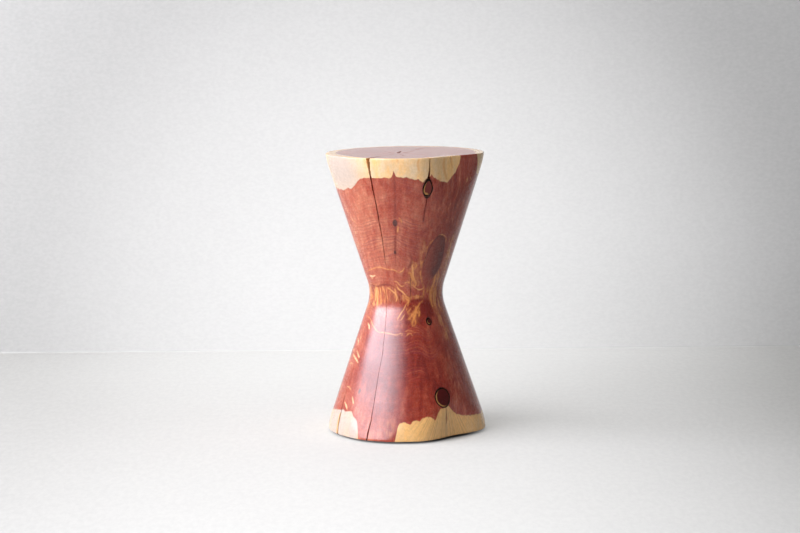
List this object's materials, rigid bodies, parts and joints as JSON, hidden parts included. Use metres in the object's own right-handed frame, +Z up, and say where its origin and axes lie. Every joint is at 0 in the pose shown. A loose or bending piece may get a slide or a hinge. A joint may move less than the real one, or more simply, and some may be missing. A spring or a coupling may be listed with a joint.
{
  "type": "stump side table",
  "caption": "Hourglass side table turned from one red cedar log, with open drying checks and encased knots, on nailed felt glides.",
  "frame": {"origin": "on the floor, under the centre of the log", "axes": "+Z up along the log; -Y is the front that faces the camera in the picture"},
  "size_m": [0.288, 0.2881, 0.508],
  "materials": {
    "cedar": "satin lacquer",
    "knot_wood": "satin lacquer",
    "bark": "rough",
    "nylon": "moulded",
    "felt": "pressed wool",
    "steel": "plain"
  },
  "bodies": {
    "root": {"stump_body": "cedar", "base_knot": "knot_wood", "base_knot_bark": "bark", "rim_knot": "knot_wood", "rim_knot_bark": "bark", "waist_knot": "knot_wood", "waist_knot_bark": "bark", "glide_front": "nylon", "glide_right": "nylon", "glide_rear": "nylon", "glide_left": "nylon", "felt_front": "felt", "felt_right": "felt", "felt_rear": "felt", "felt_left": "felt", "glide_nails": "steel"}
  },
  "joints": []
}
